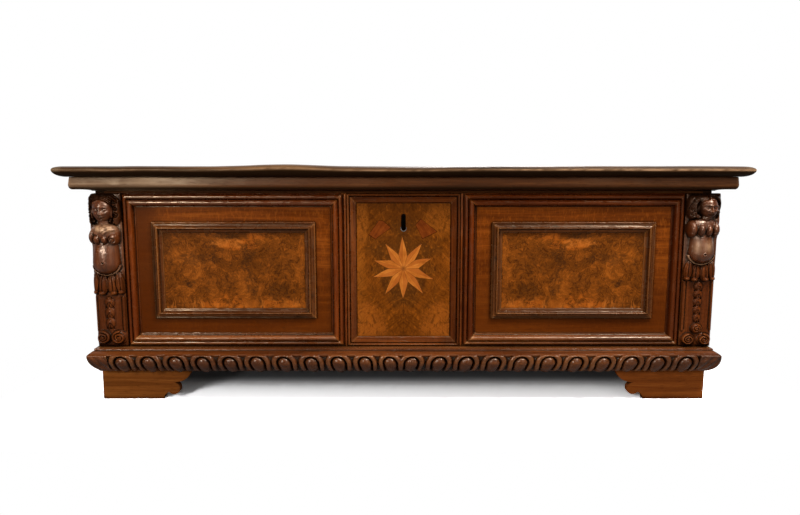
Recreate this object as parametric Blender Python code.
"""Walnut cassapanca: a long lidded chest with carved corner pilasters, framed burr panels and bracket feet.

Metres. +X runs along the front, the front faces -Y, +Z is up, and the origin is on the floor under the lid.
"""

import math

import bmesh
import bpy
from mathutils import Matrix, Vector

# Fits between pieces
GAP = 0.0003  # between neighbours that touch
LIP_CLEARANCE = 0.0015  # lip of the lid to the carcase it closes over
OVERSHOOT = 0.010  # how far a cutter runs past the faces it cuts

# Carcase boards
CARCASE_LENGTH = 1.548
CARCASE_DEPTH = 0.474
CARCASE_HEIGHT = 0.496
FRONT_THICKNESS = 0.024
END_THICKNESS = 0.022
BACK_THICKNESS = 0.020
BOTTOM_THICKNESS = 0.018
BOTTOM_RISE = 0.014  # underside of the bottom board above the lower edge of the boards
GROOVE_DEPTH = 0.008
TAIL_COUNT = 5  # dovetails at each corner
TAIL_ROOT_WIDTH = 0.050
TAIL_FLARE = 0.004  # widening on each side from root to tip

# Feet
FOOT_HEIGHT = 0.080
FOOT_THICKNESS = 0.022
FOOT_STEP = 0.008  # foot face outside the carcase face
FOOT_SOLE = 0.157  # flat length on the floor
FOOT_KNOB_RADIUS = 0.016
FOOT_KNOB_HEIGHT = 0.028
FOOT_KNOB_OVERLAP = 0.0013  # knob into the small hollow beside the sole
FOOT_RISER = 0.018  # height of the small hollow beside the sole
FOOT_SWEEP = 0.045  # length of the hollow from the knob to the top
FOOT_SIDE_SOLE = 0.085

# Base moulding
BASE_HEIGHT = 0.0635
BASE_FOOT_PROJECTION = 0.034
BASE_TIP_PROJECTION = 0.056
BASE_TIP_HEIGHT = 0.0415
BASE_TOP_PROJECTION = 0.036
BASE_TOP_FILLET = 0.004
BASE_TIP_FILLET = 0.004
BASE_SIDE_SETBACK = 0.025  # the end strips project this much less than the front strip
GADROON_PITCH = 0.0695
GADROON_WIDTH = 0.036
GADROON_HEIGHT = 0.046
GADROON_SWELL = 0.019
GADROON_INSET = 0.016  # middle of a lobe behind the tip of the moulding
GADROON_RISE = 0.001  # foot of a lobe above the underside
GADROON_LEAN = 14.0  # degrees sideways
GADROON_TIP_OVER = 24.0  # degrees forward
GADROON_CENTRE_GAP = 0.056  # between the two lobes at the middle

# Lid
LID_THICKNESS = 0.0265
LID_OVERHANG = 0.071
LID_EDGE_SETBACK = 0.012  # flat top behind the tip of the edge
LID_EDGE_DROP = 0.0085  # tip below the flat top
LID_EDGE_FILLET = 0.002  # at the underside
LIP_PROJECTION = 0.045
LIP_HEIGHT = 0.035
LIP_FACE = 0.0215
LIP_NOSE = 0.003
LIP_FOOT = 0.004  # lower edge of the lip

# Layout of the front
FRIEZE = 0.006  # bare board between the lip and the mouldings
PILASTER_WIDTH = 0.075
PILASTER_STEP = 0.007  # pilaster side outside the carcase end
PILASTER_THICKNESS = 0.018
FIGURE_RELIEF = 0.026  # greatest swell of the carved figure out of the pilaster
FIGURE_SINK = 0.004  # widest section of each mass behind the pilaster face
FIGURE_ROOT = (0.25, 0.45)  # share of the pilaster that a mass is rooted in: least, more with relief
FIGURE_TURN = (13.0, 4.0)  # degrees that a mass's facets are turned: the first one, each one after
CENTRE_WIDTH = 0.286  # between the two muntin beads
BEAD_WIDTH = 0.007
BEAD_PROJECTION = 0.011
OUTER_WIDTH = 0.034
OUTER_RISE = 0.019
FIELD_STRIP = 0.038  # flat field between outer and inner mouldings
FIELD_THICKNESS = 0.006
INNER_WIDTH = 0.027
INNER_RISE = 0.014
BURR_THICKNESS = 0.0025
CENTRE_MOULDING_WIDTH = 0.025
CENTRE_RISE = 0.013

# Inlay and keyhole in the centre panel
INLAY_THICKNESS = 0.002
STAR_RADIUS = 0.079
STAR_NOTCH = 0.036
STAR_BOW = 0.050  # radius where the sides of a ray are widest apart
STAR_RAYS = 10
STAR_RISE = 0.005  # star centre above the middle of the panel
KITE_LENGTH = 0.058  # upper left patch, towards the keyhole
KITE_WIDTH = 0.040
KITE_BLUNT = 0.015  # blunt upper end of the left patch
KITE_OFFSET = 0.056  # patches beside the star's middle line
KITE_RISE = 0.099  # patches above the star centre
KITE_TURN = 32.0  # degrees
KEYHOLE_WIDTH = 0.012
KEYHOLE_HEIGHT = 0.043
KEYHOLE_DROP = 0.114  # middle of the keyhole below the rim

# Hinges
HINGE_INSET = 0.254  # middle of a hinge from the end of the carcase
LEAF_WIDTH = 0.042
LEAF_THICKNESS = 0.003
LEAF_REACH = 0.160  # strap under the lid
LEAF_DROP = 0.110  # strap down the back
LEAF_TAPER = 0.012  # narrowing on each side at the free end
KNUCKLE_RADIUS = 0.007
KNUCKLE_MIDDLE = 0.016
KNUCKLE_INSET = 0.0005  # knuckle set in from the faces of its leaf
PIN_RADIUS = 0.003
PIN_HEAD_RADIUS = 0.0048
PIN_HEAD_LENGTH = 0.002

# Lock
LOCK_WIDTH = 0.110
LOCK_HEIGHT = 0.130
LOCK_DEPTH = 0.028
LOCK_WALL = 0.003
LOCK_DROP = 0.014  # top of the case below the rim
BOLT_LENGTH = 0.040
BOLT_WIDTH = 0.006
BOLT_HEIGHT = 0.007
BOLT_DROP = 0.030  # middle of the bolt below the rim
BOLT_TIP_GAP = 0.004  # tip of the drawn bolt to the staple
BOLT_GUIDE_WIDTH = 0.006
BOLT_GUIDE_HEIGHT = 0.006
BOLT_GUIDE_INSET = 0.008  # guide to the end of the bolt
STAPLE_PLATE_LENGTH = 0.050
STAPLE_PLATE_WIDTH = 0.018
STAPLE_THICKNESS = 0.004
STAPLE_WIDTH = 0.013
STAPLE_EYE_MARGIN = 0.001  # bolt to the eye of the staple
STAPLE_EYE_WALL = 0.004

# Levels and faces that follow from the sizes
HALF = CARCASE_LENGTH / 2
RIM = FOOT_HEIGHT + CARCASE_HEIGHT
FIELD_BOTTOM = FOOT_HEIGHT + BASE_HEIGHT + GAP
FIELD_TOP = RIM - LIP_HEIGHT - FRIEZE
FIELD_HEIGHT = FIELD_TOP - FIELD_BOTTOM
LID_BACK_OVERHANG = 2 * (KNUCKLE_RADIUS + KNUCKLE_INSET + GAP)
LID_DEPTH = LID_OVERHANG + CARCASE_DEPTH + LID_BACK_OVERHANG
FRONT = LID_OVERHANG - LID_DEPTH / 2
BACK = FRONT + CARCASE_DEPTH
FRONT_INNER = FRONT + FRONT_THICKNESS
BACK_INNER = BACK - BACK_THICKNESS
END_INNER = HALF - END_THICKNESS
LID_UNDER = RIM + GAP
PIVOT_Y = BACK + GAP + KNUCKLE_RADIUS + KNUCKLE_INSET
PIVOT_Z = RIM - KNUCKLE_RADIUS - KNUCKLE_INSET
SURFACE = FRONT - GAP  # back of everything that is applied to the front board
PILASTER_INNER = HALF + PILASTER_STEP - PILASTER_WIDTH
PANEL_INNER = CENTRE_WIDTH / 2 + BEAD_WIDTH + GAP
STAR_Z = (FIELD_BOTTOM + FIELD_TOP) / 2 + STAR_RISE
KEYHOLE_Z = RIM - KEYHOLE_DROP
BOLT_Z = RIM - BOLT_DROP
LOCK_Y = FRONT_INNER + GAP

# Heights of the carved figure's parts, as shares of its pilaster. The two figures were not carved alike.
FIGURE_LEVELS = {
    "left": {"head": 0.893, "chest": 0.733, "belly": 0.560, "girdle": 0.455, "leaf": 0.388, "husk": 0.300},
    "right": {"head": 0.903, "chest": 0.758, "belly": 0.612, "girdle": 0.518, "leaf": 0.450, "husk": 0.362},
}
# Parts of the figure: the level it belongs to, its place above that level, its place across from the
# middle towards the chest's end, its half width and half height, all as shares of the pilaster, and its
# share of the relief.
FIGURE_FORMS = (
    ("head", 0.000, 0.12, 0.31, 0.088, 1.00),
    ("head", 0.056, 0.08, 0.42, 0.036, 0.80),
    ("head", -0.012, -0.29, 0.20, 0.085, 0.62),
    ("head", -0.020, 0.46, 0.10, 0.078, 0.42),
    ("chest", 0.036, 0.00, 0.45, 0.040, 0.58),
    ("chest", -0.008, -0.36, 0.13, 0.058, 0.65),
    ("chest", -0.008, 0.41, 0.15, 0.058, 0.65),
    ("chest", -0.012, -0.13, 0.15, 0.050, 0.78),
    ("chest", -0.012, 0.15, 0.15, 0.050, 0.78),
    ("belly", 0.000, 0.00, 0.45, 0.100, 0.96),
    ("girdle", 0.000, 0.00, 0.46, 0.022, 0.55),
    ("leaf", 0.000, -0.34, 0.12, 0.062, 0.40),
    ("leaf", -0.004, -0.06, 0.15, 0.068, 0.52),
    ("leaf", 0.000, 0.32, 0.13, 0.062, 0.40),
)
HUSK_COUNT = 5
HUSK_PITCH = 0.047
HUSK_FORM = (0.10, 0.026, 0.32)
VOLUTE_LEVEL = 0.052
VOLUTE_FORM = (0.21, 0.046, 0.46)
VOLUTE_ACROSS = 0.25

COLOURS = {
    "walnut": (0.130, 0.060, 0.032, 1.0),
    "carved_walnut": (0.100, 0.045, 0.025, 1.0),
    "field_walnut": (0.160, 0.078, 0.038, 1.0),
    "burr_walnut": (0.330, 0.150, 0.055, 1.0),
    "fruitwood": (0.520, 0.260, 0.095, 1.0),
    "inlay_wood": (0.230, 0.080, 0.036, 1.0),
    "secondary_wood": (0.270, 0.160, 0.085, 1.0),
    "wrought_iron": (0.045, 0.042, 0.040, 1.0),
}


def clear_scene():
    """Remove whatever the new scene holds."""
    for thing in list(bpy.data.objects):
        bpy.data.objects.remove(thing, do_unlink=True)


def collection(name):
    """A new collection in the scene."""
    made = bpy.data.collections.new(name)
    bpy.context.scene.collection.children.link(made)
    return made


def material(name, slot):
    """The Principled material of one piece."""
    made = bpy.data.materials.new(name)
    made.use_nodes = True
    shader = made.node_tree.nodes["Principled BSDF"]
    metal = slot == "wrought_iron"
    shader.inputs["Base Color"].default_value = COLOURS[slot]
    shader.inputs["Roughness"].default_value = 0.55 if metal else 0.40
    shader.inputs["Metallic"].default_value = 1.0 if metal else 0.0
    return made


def add_mesh(name, bm, slot=None):
    """Make an object of a bmesh: a piece if it has a material slot, else a cutter."""
    bmesh.ops.recalc_face_normals(bm, faces=bm.faces)
    if bm.calc_volume(signed=True) < 0.0:
        bmesh.ops.reverse_faces(bm, faces=bm.faces)
    mesh = bpy.data.meshes.new(name)
    bm.to_mesh(mesh)
    bm.free()
    made = bpy.data.objects.new(name, mesh)
    if slot:
        mesh.materials.append(material(name, slot))
        PIECES.objects.link(made)
    else:
        made.hide_render = True
        made.display_type = "WIRE"
        CUTTERS.objects.link(made)
    return made


def box(name, low, high, slot=None):
    """A box between two corners."""
    low = Vector(low)
    high = Vector(high)
    size = high - low
    place = Matrix.Translation((low + high) / 2) @ Matrix.Diagonal((*size, 1.0))
    bm = bmesh.new()
    bmesh.ops.create_cube(bm, size=1.0, matrix=place)
    return add_mesh(name, bm, slot)


def rod(name, radius, x_low, x_high, slot=None, segments=24):
    """A cylinder along X on the hinge axis."""
    middle = Vector(((x_low + x_high) / 2, PIVOT_Y, PIVOT_Z))
    place = Matrix.Translation(middle) @ Matrix.Rotation(math.pi / 2, 4, "Y")
    bm = bmesh.new()
    bmesh.ops.create_cone(
        bm,
        cap_ends=True,
        segments=segments,
        radius1=radius,
        radius2=radius,
        depth=x_high - x_low,
        matrix=place,
    )
    return add_mesh(name, bm, slot)


def prism(name, outline, direction, slot=None):
    """A flat outline of points, pushed along a direction."""
    bm = bmesh.new()
    face = bm.faces.new([bm.verts.new(point) for point in outline])
    pushed = bmesh.ops.extrude_face_region(bm, geom=[face])["geom"]
    moved = [v for v in pushed if isinstance(v, bmesh.types.BMVert)]
    bmesh.ops.translate(bm, vec=Vector(direction), verts=moved)
    return add_mesh(name, bm, slot)


def strip(name, profile, length, start, end, slot):
    """A moulding along local X. Profile points are (across, out); start and end give each point's end cut."""
    bm = bmesh.new()
    face = bm.faces.new([bm.verts.new((start(a, o), -o, a)) for a, o in profile])
    pushed = bmesh.ops.extrude_face_region(bm, geom=[face])["geom"]
    for v in pushed:
        if isinstance(v, bmesh.types.BMVert):
            v.co.x = length - end(v.co.z, -v.co.y)
    return add_mesh(name, bm, slot)


def shape(target, other, operation, own_overlaps=False):
    """Cut another object from a target, or join it on."""
    change = target.modifiers.new(other.name, "BOOLEAN")
    change.object = other
    change.operation = operation
    change.solver = "EXACT"
    change.use_self = own_overlaps


def place(thing, location, axis="Y", degrees=0.0):
    """Set an object's place and its turn about one axis."""
    thing.location = location
    turn = math.radians(degrees)
    thing.rotation_euler = (0.0, turn, 0.0) if axis == "Y" else (0.0, 0.0, turn)
    return thing


def arc(across, out, radius_across, radius_out, start, end, steps):
    """Points on an elliptical arc, angles in degrees from the across direction."""
    points = []
    for i in range(steps + 1):
        angle = math.radians(start + (end - start) * i / steps)
        points.append((across + radius_across * math.cos(angle), out + radius_out * math.sin(angle)))
    return points


def square(across, out):
    """A square end that only keeps the joint gap."""
    return GAP


def inward(across, out):
    """A mitre of a picture frame: shorter towards the inside."""
    return across + GAP


# Carcase


def tail_half_width(depth, thickness):
    """Half width of a dovetail at a depth from its root."""
    return TAIL_ROOT_WIDTH / 2 + TAIL_FLARE * depth / thickness


def tail_heights():
    """Middle heights of the dovetails."""
    return [FOOT_HEIGHT + CARCASE_HEIGHT * (i + 0.5) / TAIL_COUNT for i in range(TAIL_COUNT)]


def tailed_edge(inner, outward, thickness):
    """Upward outline of one dovetailed edge of an end board, as (y, z)."""
    root = inner - outward * GAP
    tip = inner + outward * (thickness - GAP)
    at_root = tail_half_width(0.0, thickness)
    at_tip = tail_half_width(thickness, thickness)
    points = [(root, FOOT_HEIGHT)]
    for z in tail_heights():
        points += [(root, z - at_root), (tip, z - at_tip), (tip, z + at_tip), (root, z + at_root)]
    points.append((root, RIM))
    return points


def tail_sockets(name, side, inner, outward, thickness):
    """Cutter for the sockets of one corner: every tail, a gap larger all round."""
    bm = bmesh.new()
    for z in tail_heights():
        corners = []
        for depth in (-OVERSHOOT, thickness + OVERSHOOT):
            half = tail_half_width(depth, thickness) + GAP
            y = inner + outward * depth
            corners += [(y, z - half), (y, z + half)]
        order = [corners[0], corners[2], corners[3], corners[1]]
        x_low = side * (END_INNER - GAP)
        face = bm.faces.new([bm.verts.new((x_low, y, h)) for y, h in order])
        pushed = bmesh.ops.extrude_face_region(bm, geom=[face])["geom"]
        moved = [v for v in pushed if isinstance(v, bmesh.types.BMVert)]
        reach = side * (END_THICKNESS + GAP + OVERSHOOT)
        bmesh.ops.translate(bm, vec=(reach, 0.0, 0.0), verts=moved)
    return add_mesh(name, bm)


def keyhole_outline(y):
    """Upright slot with round ends."""
    radius = KEYHOLE_WIDTH / 2
    rise = KEYHOLE_HEIGHT / 2 - radius
    upper = arc(0.0, KEYHOLE_Z + rise, radius, radius, 0, 180, 6)
    lower = arc(0.0, KEYHOLE_Z - rise, radius, radius, 180, 360, 6)
    return [(x, y, z) for x, z in upper + lower]


def bottom_extent(grow):
    """Corners of the bottom board, or of its groove when grown."""
    x = END_INNER + GROOVE_DEPTH - GAP + grow
    y_low = FRONT_INNER - GROOVE_DEPTH + GAP - grow
    y_high = BACK_INNER + GROOVE_DEPTH - GAP + grow
    z = FOOT_HEIGHT + BOTTOM_RISE
    return (-x, y_low, z - grow), (x, y_high, z + BOTTOM_THICKNESS + grow)


def build_carcase(keyhole):
    """Four dovetailed boards round a grooved-in bottom."""
    front = box("front_board", (-HALF, FRONT, FOOT_HEIGHT), (HALF, FRONT_INNER, RIM), "walnut")
    back = box("back_board", (-HALF, BACK_INNER, FOOT_HEIGHT), (HALF, BACK, RIM), "secondary_wood")
    groove = box("bottom_groove", *bottom_extent(GAP))
    box("bottom_board", *bottom_extent(0.0), "secondary_wood")
    for label, side in (("left", -1), ("right", 1)):
        outline = tailed_edge(FRONT_INNER, -1, FRONT_THICKNESS)
        outline += reversed(tailed_edge(BACK_INNER, 1, BACK_THICKNESS))
        inner = side * END_INNER
        points = [(inner, y, z) for y, z in outline]
        end = prism("end_board_" + label, points, (side * END_THICKNESS, 0.0, 0.0), "walnut")
        shape(end, groove, "DIFFERENCE")
        sockets = tail_sockets("front_sockets_" + label, side, FRONT_INNER, -1, FRONT_THICKNESS)
        shape(front, sockets, "DIFFERENCE")
        sockets = tail_sockets("back_sockets_" + label, side, BACK_INNER, 1, BACK_THICKNESS)
        shape(back, sockets, "DIFFERENCE")
        middle = side * (HALF - HINGE_INSET)
        reach = LEAF_WIDTH / 2 + GAP
        notch = box(
            "hinge_notch_" + label,
            (middle - reach, BACK_INNER - OVERSHOOT, RIM - LEAF_THICKNESS - GAP),
            (middle + reach, BACK + OVERSHOOT, RIM + OVERSHOOT),
        )
        shape(back, notch, "DIFFERENCE")
    shape(front, groove, "DIFFERENCE")
    shape(back, groove, "DIFFERENCE")
    shape(front, keyhole, "DIFFERENCE")


# Feet and base moulding


def foot_outline(sole):
    """Sawn bracket outline as (along, up), from the outer corner."""
    hollow = arc(sole + FOOT_RISER, 0.0, FOOT_RISER, FOOT_RISER, 180, 110, 4)
    knob_along = hollow[-1][0] + FOOT_KNOB_RADIUS - FOOT_KNOB_OVERLAP
    knob = arc(knob_along, FOOT_KNOB_HEIGHT, FOOT_KNOB_RADIUS, FOOT_KNOB_RADIUS, 220, 445, 14)
    cusp_along, cusp_up = knob[-1]
    sweep_up = FOOT_HEIGHT - GAP - cusp_up
    sweep = arc(cusp_along, cusp_up + sweep_up, FOOT_SWEEP, sweep_up, 270, 360, 7)
    top = FOOT_HEIGHT - GAP
    return [(0.0, 0.0)] + hollow + knob + sweep[1:] + [(0.0, top)]


def build_feet():
    """A bracket at each front corner, one behind it along each end, and one at the back of each end."""
    front_face = FRONT - FOOT_STEP
    for label, side in (("left", -1), ("right", 1)):
        outer = side * (HALF + FOOT_STEP)
        outline = [(outer - side * s, front_face, z) for s, z in foot_outline(FOOT_SOLE)]
        prism("foot_front_" + label, outline, (0.0, FOOT_THICKNESS, 0.0), "walnut")
        push = (-side * FOOT_THICKNESS, 0.0, 0.0)
        start = front_face + FOOT_THICKNESS + GAP
        outline = [(outer, start + s, z) for s, z in foot_outline(FOOT_SIDE_SOLE)]
        prism("foot_side_" + label, outline, push, "walnut")
        outline = [(outer, BACK - s, z) for s, z in foot_outline(FOOT_SIDE_SOLE)]
        prism("foot_rear_" + label, outline, push, "walnut")


def base_profile(setback):
    """Section of the base moulding as (up, out): hollowed underside, sharp tip, hollow slope, top fillet."""
    foot = BASE_FOOT_PROJECTION - setback
    tip = BASE_TIP_PROJECTION - setback
    top = BASE_TOP_PROJECTION - setback
    slope_top = BASE_HEIGHT - BASE_TOP_FILLET
    under = [(up, out) for out, up in arc(foot, BASE_TIP_HEIGHT, tip - foot, BASE_TIP_HEIGHT, -90, 0, 6)]
    slope = []
    rise = slope_top - BASE_TIP_HEIGHT - BASE_TIP_FILLET
    for out, up in arc(tip, slope_top, tip - top, rise, 270, 180, 5):
        slope.append((up, out))
    return [(0.0, 0.0)] + under + slope + [(BASE_HEIGHT, top), (BASE_HEIGHT, 0.0)]


def gadroons(name, positions, setback):
    """Egg-shaped lobes along the underside of a base strip; the sign of a position's lean turns it."""
    out = BASE_TIP_PROJECTION - GADROON_INSET - setback
    up = GADROON_HEIGHT / 2 + GADROON_RISE
    radii = (GADROON_WIDTH / 2, GADROON_SWELL, GADROON_HEIGHT / 2, 1.0)
    bm = bmesh.new()
    for along, lean in positions:
        turn = Matrix.Rotation(math.radians(lean * GADROON_LEAN), 4, "Y")
        tip_over = Matrix.Rotation(math.radians(GADROON_TIP_OVER), 4, "X")
        where = Matrix.Translation((along, -out, up)) @ tip_over @ turn @ Matrix.Diagonal(radii)
        lobe = bmesh.ops.create_uvsphere(bm, u_segments=10, v_segments=7, radius=1.0, matrix=where)
        for v in lobe["verts"]:
            behind = out + v.co.y
            if behind > 0.0:
                v.co.y = behind * out / GADROON_HEIGHT - out
    return add_mesh(name, bm)


def build_base():
    """Front strip and two end strips, mitred at the front corners."""
    profile = base_profile(0.0)
    side_profile = base_profile(BASE_SIDE_SETBACK)

    def front_cut(across, out):
        return BASE_SIDE_SETBACK - out + GAP

    def side_cut(across, out):
        return -out - BASE_SIDE_SETBACK + GAP

    front = strip("base_moulding_front", profile, CARCASE_LENGTH, front_cut, front_cut, "carved_walnut")
    place(front, (-HALF, SURFACE, FOOT_HEIGHT))
    positions = []
    count = int((HALF - GADROON_CENTRE_GAP / 2 - GADROON_WIDTH / 2) / GADROON_PITCH) + 1
    for i in range(count):
        step = GADROON_CENTRE_GAP / 2 + i * GADROON_PITCH
        positions += [(HALF - step, -1.0), (HALF + step, 1.0)]
    lobes = place(gadroons("lobes_front", positions, 0.0), (-HALF, SURFACE, FOOT_HEIGHT))
    shape(front, lobes, "UNION")
    side_count = int((CARCASE_DEPTH - GADROON_WIDTH) / GADROON_PITCH)
    for label, side in (("left", -1), ("right", 1)):
        name = "base_moulding_" + label
        steps = [(i + 0.5) * GADROON_PITCH for i in range(side_count)]
        if side > 0:
            made = strip(name, side_profile, CARCASE_DEPTH, side_cut, square, "carved_walnut")
            start = (HALF + GAP, FRONT, FOOT_HEIGHT)
            positions = [(step, -1.0) for step in steps]
        else:
            made = strip(name, side_profile, CARCASE_DEPTH, square, side_cut, "carved_walnut")
            start = (-HALF - GAP, BACK, FOOT_HEIGHT)
            positions = [(CARCASE_DEPTH - step, 1.0) for step in steps]
        place(made, start, "Z", side * 90.0)
        lobes = gadroons("lobes_" + label, positions, BASE_SIDE_SETBACK)
        place(lobes, start, "Z", side * 90.0)
        shape(made, lobes, "UNION")


# Front: pilasters, mouldings, panels and inlay


def figure_forms(label):
    """Every rounded mass of one figure: across, up, half width, half height and relief, as shares."""
    levels = FIGURE_LEVELS[label]
    forms = []
    for level, above, across, half_width, half_height, relief in FIGURE_FORMS:
        forms.append((across, levels[level] + above, half_width, half_height, relief))
    for i in range(HUSK_COUNT):
        up = levels["husk"] - i * HUSK_PITCH
        if up > VOLUTE_LEVEL + VOLUTE_FORM[1]:
            forms.append((0.0, up, *HUSK_FORM))
    for across in (-VOLUTE_ACROSS, VOLUTE_ACROSS):
        forms.append((across, VOLUTE_LEVEL, *VOLUTE_FORM))
    return forms


def build_pilasters():
    """A flat pilaster at each corner with the rounded masses of a half-figure on it."""
    face = SURFACE - PILASTER_THICKNESS
    widest = face + FIGURE_SINK
    for label, side in (("left", -1), ("right", 1)):
        outer = side * (HALF + PILASTER_STEP)
        inner = side * (PILASTER_INNER + GAP)
        low = (min(outer, inner), face, FIELD_BOTTOM)
        high = (max(outer, inner), SURFACE, FIELD_TOP)
        slab = box("pilaster_" + label, low, high, "carved_walnut")
        middle = (outer + inner) / 2
        bm = bmesh.new()
        for number, (across, up, half_width, half_height, relief) in enumerate(figure_forms(label)):
            swell = relief * FIGURE_RELIEF + FIGURE_SINK
            root = (PILASTER_THICKNESS - FIGURE_SINK) * (FIGURE_ROOT[0] + FIGURE_ROOT[1] * relief)
            degrees = FIGURE_TURN[0] + FIGURE_TURN[1] * number
            turned = Matrix.Rotation(math.radians(degrees), 4, "Z")
            centre = (middle + side * across * PILASTER_WIDTH, widest, FIELD_BOTTOM + up * FIELD_HEIGHT)
            radii = (half_width * PILASTER_WIDTH, swell, half_height * FIELD_HEIGHT, 1.0)
            where = Matrix.Translation(centre) @ Matrix.Diagonal(radii) @ turned
            form = bmesh.ops.create_uvsphere(bm, u_segments=12, v_segments=8, radius=1.0, matrix=where)
            for v in form["verts"]:
                if v.co.y > widest:
                    v.co.y = widest + (v.co.y - widest) / swell * root
        figure = add_mesh("figure_" + label, bm)
        shape(slab, figure, "UNION", own_overlaps=True)


def outer_profile():
    """Outer panel moulding as (across, out): bead, groove, small bead, hollow and large round.

    It is drawn in 34 parts of its width and 19 parts of its rise.
    """
    w = OUTER_WIDTH / 34
    r = OUTER_RISE / 19
    bead = arc(3.0 * w, 12.0 * r, 3.0 * w, 3.0 * r, 180, 0, 5)
    small = arc(9.2 * w, 11.0 * r, 1.4 * w, 1.4 * r, 180, 0, 4)
    hollow = arc(11.2 * w, 19.0 * r, 6.5 * w, 8.0 * r, 270, 345, 4)
    large = arc(25.5 * w, 12.0 * r, 7.2 * w, 7.0 * r, 165, 0, 8)
    last = (OUTER_WIDTH, FIELD_THICKNESS + 2.0 * r)
    return [(0.0, 0.0)] + bead + small + hollow + large + [last, (OUTER_WIDTH, 0.0)]


def inner_profile():
    """Inner panel moulding as (across, out): fillet, hollow up to a ridge bead, round down to the veneer.

    It is drawn in 27 parts of its width and 14 parts of its rise.
    """
    w = INNER_WIDTH / 27
    r = INNER_RISE / 14
    hollow = arc(3.0 * w, 12.0 * r, 8.0 * w, 8.5 * r, 270, 350, 5)
    bead = arc(13.8 * w, 11.0 * r, 2.6 * w, 3.0 * r, 160, 0, 5)
    round_down = arc(17.0 * w, BURR_THICKNESS, 10.0 * w, 7.5 * r, 88, 8, 5)
    return [(0.0, 0.0), (0.0, 3.5 * r)] + hollow + bead + round_down + [(INNER_WIDTH, 0.0)]


def centre_profile():
    """Centre panel moulding as (across, out): flat band, small step and an inner bead.

    It is drawn in 25 parts of its width and 13 parts of its rise.
    """
    w = CENTRE_MOULDING_WIDTH / 25
    r = CENTRE_RISE / 13
    band = [(0.0, 0.0), (0.0, 11.0 * r), (14.5 * w, 11.0 * r), (14.5 * w, 8.5 * r)]
    bead = arc(20.5 * w, 8.5 * r, 4.5 * w, 4.5 * r, 165, 0, 6)
    return band + bead + [(CENTRE_MOULDING_WIDTH, 0.0)]


def frame(name, profile, x_low, x_high, z_low, z_high, back, slot, sides):
    """Four mitred strips round a rectangle; sides names the strips at low and high X."""
    wide = x_high - x_low
    tall = z_high - z_low
    places = (
        ("bottom", wide, (x_low, back, z_low), 0.0),
        (sides[1], tall, (x_high, back, z_low), -90.0),
        ("top", wide, (x_high, back, z_high), 180.0),
        (sides[0], tall, (x_low, back, z_high), 90.0),
    )
    for side, length, corner, degrees in places:
        made = strip(name + "_" + side, profile, length, inward, inward, slot)
        place(made, corner, "Y", degrees)


def build_long_panels():
    """Outer frame, field board, inner frame and burr veneer on each side of the centre."""
    for label, side in (("left", -1), ("right", 1)):
        sides = ("outer", "inner") if side < 0 else ("inner", "outer")
        near = side * PANEL_INNER
        far = side * PILASTER_INNER
        low, high = min(near, far), max(near, far)
        frame(
            "outer_moulding_" + label,
            outer_profile(),
            low,
            high,
            FIELD_BOTTOM,
            FIELD_TOP,
            SURFACE,
            "walnut",
            sides,
        )
        inset = OUTER_WIDTH + GAP
        field_face = SURFACE - FIELD_THICKNESS
        box(
            "panel_board_" + label,
            (low + inset, field_face, FIELD_BOTTOM + inset),
            (high - inset, SURFACE, FIELD_TOP - inset),
            "field_walnut",
        )
        inset = OUTER_WIDTH + FIELD_STRIP
        frame(
            "inner_moulding_" + label,
            inner_profile(),
            low + inset,
            high - inset,
            FIELD_BOTTOM + inset,
            FIELD_TOP - inset,
            field_face - GAP,
            "walnut",
            sides,
        )
        inset += INNER_WIDTH + GAP
        box(
            "burr_veneer_" + label,
            (low + inset, field_face - GAP - BURR_THICKNESS, FIELD_BOTTOM + inset),
            (high - inset, field_face - GAP, FIELD_TOP - inset),
            "burr_walnut",
        )


def star_outline():
    """Rays with bowed sides round the star centre, as (x, z)."""
    points = []
    step = 360.0 / STAR_RAYS
    for i in range(STAR_RAYS):
        middle = 90.0 + i * step
        for share, radius in ((-0.5, STAR_NOTCH), (-0.26, STAR_BOW), (0.0, STAR_RADIUS), (0.26, STAR_BOW)):
            angle = math.radians(middle + share * step)
            points.append((radius * math.cos(angle), STAR_Z + radius * math.sin(angle)))
    return points


def kite_outline(side):
    """A leaning patch beside the keyhole, as (x, z); the left one has a blunt upper end."""
    long_way = KITE_LENGTH / 2
    wide_way = KITE_WIDTH / 2
    corners = [(-long_way, 0.0), (0.0, -wide_way), (long_way, 0.0), (0.0, wide_way)]
    if side < 0:
        corners[1:2] = [(-KITE_BLUNT / 2, -wide_way), (KITE_BLUNT / 2, -wide_way)]
    turn = math.radians(KITE_TURN)
    points = []
    for along, over in corners:
        x = KITE_OFFSET + along * math.cos(turn) + over * math.sin(turn)
        z = STAR_Z + KITE_RISE + along * math.sin(turn) - over * math.cos(turn)
        points.append((side * x, z))
    return points


def grown(outline, distance):
    """The same outline with every edge moved outwards by a distance."""
    count = len(outline)
    area = 0.0
    for (x0, z0), (x1, z1) in zip(outline, outline[1:] + outline[:1]):
        area += x0 * z1 - x1 * z0
    outwards = math.copysign(1.0, area)
    normals = []
    for i in range(count):
        edge = Vector(outline[(i + 1) % count]) - Vector(outline[i])
        normals.append(Vector((edge.y, -edge.x)).normalized() * outwards)
    points = []
    for i in range(count):
        both = normals[i - 1] + normals[i]
        shift = both * (2.0 * distance / both.length_squared)
        points.append(tuple(Vector(outline[i]) + shift))
    return points


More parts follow.
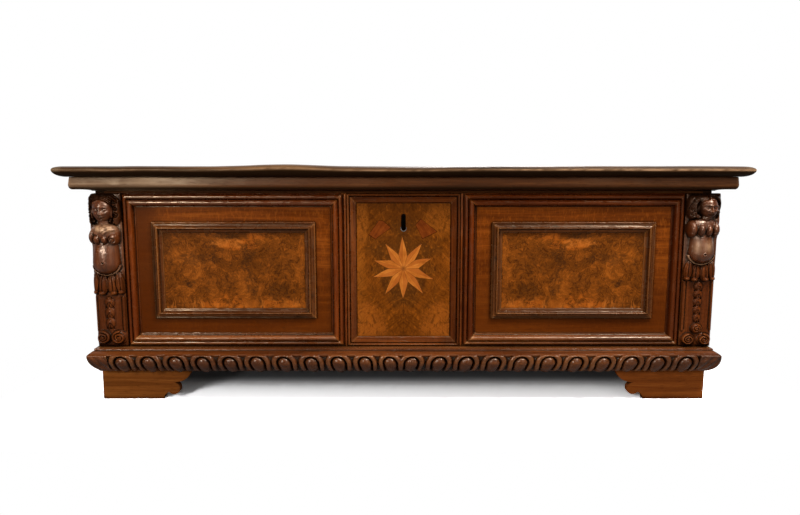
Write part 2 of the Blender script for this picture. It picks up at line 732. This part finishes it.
def build_centre(keyhole):
    """Centre panel with its frame, beads, star and kites."""
    half = CENTRE_WIDTH / 2
    frame(
        "centre_moulding",
        centre_profile(),
        -half,
        half,
        FIELD_BOTTOM,
        FIELD_TOP,
        SURFACE,
        "walnut",
        ("left", "right"),
    )
    inset = CENTRE_MOULDING_WIDTH + GAP
    face = SURFACE - FIELD_THICKNESS
    panel = box(
        "centre_panel",
        (-half + inset, face, FIELD_BOTTOM + inset),
        (half - inset, SURFACE, FIELD_TOP - inset),
        "field_walnut",
    )
    shape(panel, keyhole, "DIFFERENCE")
    pocket_floor = face + INLAY_THICKNESS + GAP
    inlays = [("star_inlay", "fruitwood", star_outline())]
    for label, side in (("left", -1), ("right", 1)):
        inlays.append(("kite_inlay_" + label, "inlay_wood", kite_outline(side)))
    for name, slot, outline in inlays:
        flat = [(x, face, z) for x, z in outline]
        prism(name, flat, (0.0, INLAY_THICKNESS, 0.0), slot)
        hole = [(x, face - OVERSHOOT, z) for x, z in grown(outline, GAP)]
        pocket = prism(name + "_pocket", hole, (0.0, pocket_floor - face + OVERSHOOT, 0.0))
        shape(panel, pocket, "DIFFERENCE")
    waist = BEAD_PROJECTION - BEAD_WIDTH / 2
    bead = [(0.0, 0.0)] + arc(BEAD_WIDTH / 2, waist, BEAD_WIDTH / 2, BEAD_WIDTH / 2, 180, 0, 8)
    bead.append((BEAD_WIDTH, 0.0))
    for label, side in (("left", -1), ("right", 1)):
        made = strip("muntin_bead_" + label, bead, FIELD_HEIGHT, square, square, "walnut")
        low = half + GAP / 2 if side > 0 else -half - BEAD_WIDTH - GAP / 2
        place(made, (low + BEAD_WIDTH, SURFACE, FIELD_BOTTOM), "Y", -90.0)


# Lid


def lid_levels():
    """Edge of the lid from the underside to the flat top, as (setback from the tip, height)."""
    under = LID_OVERHANG - LIP_PROJECTION
    tip_up = LID_THICKNESS - LID_EDGE_DROP
    levels = []
    for setback, up in arc(under, tip_up, under, tip_up - LID_EDGE_FILLET, 270, 180, 5):
        levels.append((setback, up))
    levels = [(under, 0.0)] + levels
    for setback, up in arc(LID_EDGE_SETBACK, tip_up, LID_EDGE_SETBACK, LID_EDGE_DROP, 180, 90, 4)[1:]:
        levels.append((setback, up))
    return levels


def build_lid():
    """Lid board with a moulded edge on three sides, and the mitred lip under it."""
    half = HALF + LID_OVERHANG
    front = FRONT - LID_OVERHANG
    back = BACK + LID_BACK_OVERHANG
    levels = lid_levels()
    setback = levels[0][0]
    bm = bmesh.new()
    corners = [
        (-half + setback, front + setback),
        (half - setback, front + setback),
        (half - setback, back),
        (-half + setback, back),
    ]
    top = bm.faces.new([bm.verts.new((x, y, LID_UNDER)) for x, y in corners])
    for number, (setback, up) in enumerate(levels[1:]):
        below = top
        raised = bmesh.ops.extrude_face_region(bm, geom=[below])["geom"]
        top = next(f for f in raised if isinstance(f, bmesh.types.BMFace))
        if number:
            bmesh.ops.delete(bm, geom=[below], context="FACES_ONLY")
        for v in top.verts:
            v.co.x = math.copysign(half - setback, v.co.x)
            v.co.y = front + setback if v.co.y < 0.0 else back
            v.co.z = LID_UNDER + up
    add_mesh("lid_board", bm, "walnut")
    nose = arc(-LIP_FACE + LIP_NOSE, LIP_PROJECTION - LIP_NOSE, LIP_NOSE, LIP_NOSE, 90, 180, 3)
    foot = LIP_CLEARANCE + LIP_FOOT
    rise = LIP_HEIGHT - LIP_FACE
    hollow = arc(-LIP_HEIGHT, LIP_PROJECTION - LIP_NOSE, rise, LIP_PROJECTION - LIP_NOSE - foot, 0, -90, 5)
    profile = [(0.0, LIP_CLEARANCE), (0.0, LIP_PROJECTION)] + nose + hollow[1:]
    profile.append((-LIP_HEIGHT, LIP_CLEARANCE))

    def mitre(across, out):
        return -out + GAP

    def flush(across, out):
        return -LID_BACK_OVERHANG + GAP

    made = strip("lid_lip_front", profile, CARCASE_LENGTH, mitre, mitre, "walnut")
    place(made, (-HALF, FRONT, RIM))
    made = strip("lid_lip_right", profile, CARCASE_DEPTH, mitre, flush, "walnut")
    place(made, (HALF, FRONT, RIM), "Z", 90.0)
    made = strip("lid_lip_left", profile, CARCASE_DEPTH, flush, mitre, "walnut")
    place(made, (-HALF, BACK, RIM), "Z", -90.0)


# Hinges


def strap_outline(length):
    """Half-tapered strap with a round end, as (across, along) from its wide end."""
    wide = LEAF_WIDTH / 2
    narrow = wide - LEAF_TAPER
    tip = arc(0.0, length - narrow, narrow, narrow, 0, 180, 8)
    return [(wide, 0.0)] + tip + [(-wide, 0.0)]


def build_hinges():
    """Two strap hinges: a leaf under the lid, a leaf down the back and a headed pin."""
    for label, side in (("left", -1), ("right", 1)):
        middle = side * (HALF - HINGE_INSET)
        half_middle = KNUCKLE_MIDDLE / 2
        half_leaf = LEAF_WIDTH / 2
        bore = rod("hinge_bore_" + label, PIN_RADIUS + GAP, middle - LEAF_WIDTH, middle + LEAF_WIDTH)

        outline = [(middle + x, BACK - s, RIM) for x, s in strap_outline(LEAF_REACH)]
        leaf = prism("hinge_lid_leaf_" + label, outline, (0.0, 0.0, -LEAF_THICKNESS), "wrought_iron")
        tab = box(
            "lid_tab_" + label,
            (middle - half_middle, BACK - OVERSHOOT, RIM - LEAF_THICKNESS),
            (middle + half_middle, PIVOT_Y, RIM),
        )
        shape(leaf, tab, "UNION")
        knuckle = rod("lid_knuckle_" + label, KNUCKLE_RADIUS, middle - half_middle, middle + half_middle)
        shape(leaf, knuckle, "UNION")
        shape(leaf, bore, "DIFFERENCE")

        face = BACK + GAP
        top = PIVOT_Z - KNUCKLE_RADIUS - 2 * GAP
        outline = [(middle + x, face, top - s) for x, s in strap_outline(LEAF_DROP)]
        leaf = prism("hinge_back_leaf_" + label, outline, (0.0, LEAF_THICKNESS, 0.0), "wrought_iron")
        for way in (-1, 1):
            ends = sorted((middle + way * (half_middle + GAP), middle + way * half_leaf))
            tab = box(
                "back_tab_%s_%d" % (label, way),
                (ends[0], face, top - OVERSHOOT),
                (ends[1], face + LEAF_THICKNESS, PIVOT_Z),
            )
            shape(leaf, tab, "UNION")
            knuckle = rod("back_knuckle_%s_%d" % (label, way), KNUCKLE_RADIUS, ends[0], ends[1])
            shape(leaf, knuckle, "UNION")
        shape(leaf, bore, "DIFFERENCE")

        reach = half_leaf + GAP
        ends = (middle - reach - GAP, middle + reach + GAP)
        pin = rod("hinge_pin_" + label, PIN_RADIUS, *ends, "wrought_iron", 16)
        for way in (-1, 1):
            ends = sorted((middle + way * reach, middle + way * (reach + PIN_HEAD_LENGTH)))
            head = rod("pin_head_%s_%d" % (label, way), PIN_HEAD_RADIUS, ends[0], ends[1], None, 16)
            shape(pin, head, "UNION")


# Lock


def build_lock():
    """Iron case behind the keyhole, the bolt that slides in it and the staple under the lid."""
    half = LOCK_WIDTH / 2
    top = RIM - LOCK_DROP
    deep = LOCK_Y + LOCK_DEPTH
    case = box("lock_case", (-half, LOCK_Y, top - LOCK_HEIGHT), (half, deep, top), "wrought_iron")
    hollow = box(
        "lock_hollow",
        (-half + LOCK_WALL, LOCK_Y - OVERSHOOT, top - LOCK_HEIGHT + LOCK_WALL),
        (half - LOCK_WALL, deep - LOCK_WALL, top - LOCK_WALL),
    )
    shape(case, hollow, "DIFFERENCE")
    middle = LOCK_Y + (LOCK_DEPTH - LOCK_WALL) / 2
    slot_half = STAPLE_THICKNESS / 2 + BOLT_TIP_GAP
    mouth = box(
        "staple_mouth",
        (-slot_half, LOCK_Y - OVERSHOOT, top - LOCK_WALL - OVERSHOOT / 2),
        (slot_half, deep - LOCK_WALL, top + OVERSHOOT),
    )
    shape(case, mouth, "DIFFERENCE")

    tip = -STAPLE_THICKNESS / 2 - BOLT_TIP_GAP
    low = (tip - BOLT_LENGTH, middle - BOLT_WIDTH / 2, BOLT_Z - BOLT_HEIGHT / 2)
    high = (tip, middle + BOLT_WIDTH / 2, BOLT_Z + BOLT_HEIGHT / 2)
    box("lock_bolt", low, high, "wrought_iron")
    under = BOLT_Z - BOLT_HEIGHT / 2 - GAP
    starts = (tip - BOLT_LENGTH + BOLT_GUIDE_INSET, tip - BOLT_GUIDE_INSET - BOLT_GUIDE_WIDTH, -tip)
    for number, start in enumerate(starts):
        guide = box(
            "bolt_guide_%d" % number,
            (start, middle - BOLT_WIDTH / 2, under - BOLT_GUIDE_HEIGHT),
            (start + BOLT_GUIDE_WIDTH, deep - LOCK_WALL / 2, under),
        )
        shape(case, guide, "UNION")

    plate = box(
        "lid_staple",
        (-STAPLE_PLATE_LENGTH / 2, middle - STAPLE_PLATE_WIDTH / 2, RIM - LEAF_THICKNESS),
        (STAPLE_PLATE_LENGTH / 2, middle + STAPLE_PLATE_WIDTH / 2, RIM),
        "wrought_iron",
    )
    eye_half = BOLT_HEIGHT / 2 + STAPLE_EYE_MARGIN
    tongue = box(
        "staple_tongue",
        (-STAPLE_THICKNESS / 2, middle - STAPLE_WIDTH / 2, BOLT_Z - eye_half - STAPLE_EYE_WALL),
        (STAPLE_THICKNESS / 2, middle + STAPLE_WIDTH / 2, RIM - LEAF_THICKNESS / 2),
    )
    shape(plate, tongue, "UNION")
    eye_wide = BOLT_WIDTH / 2 + STAPLE_EYE_MARGIN
    eye = box(
        "staple_eye",
        (-OVERSHOOT, middle - eye_wide, BOLT_Z - eye_half),
        (OVERSHOOT, middle + eye_wide, BOLT_Z + eye_half),
    )
    shape(plate, eye, "DIFFERENCE")


clear_scene()
PIECES = collection("cassapanca")
CUTTERS = collection("cutters")
KEYHOLE = prism(
    "keyhole",
    keyhole_outline(FRONT - FIELD_THICKNESS - OVERSHOOT),
    (0.0, FIELD_THICKNESS + FRONT_THICKNESS + 2 * OVERSHOOT, 0.0),
)
build_carcase(KEYHOLE)
build_feet()
build_base()
build_pilasters()
build_long_panels()
build_centre(KEYHOLE)
build_lid()
build_hinges()
build_lock()
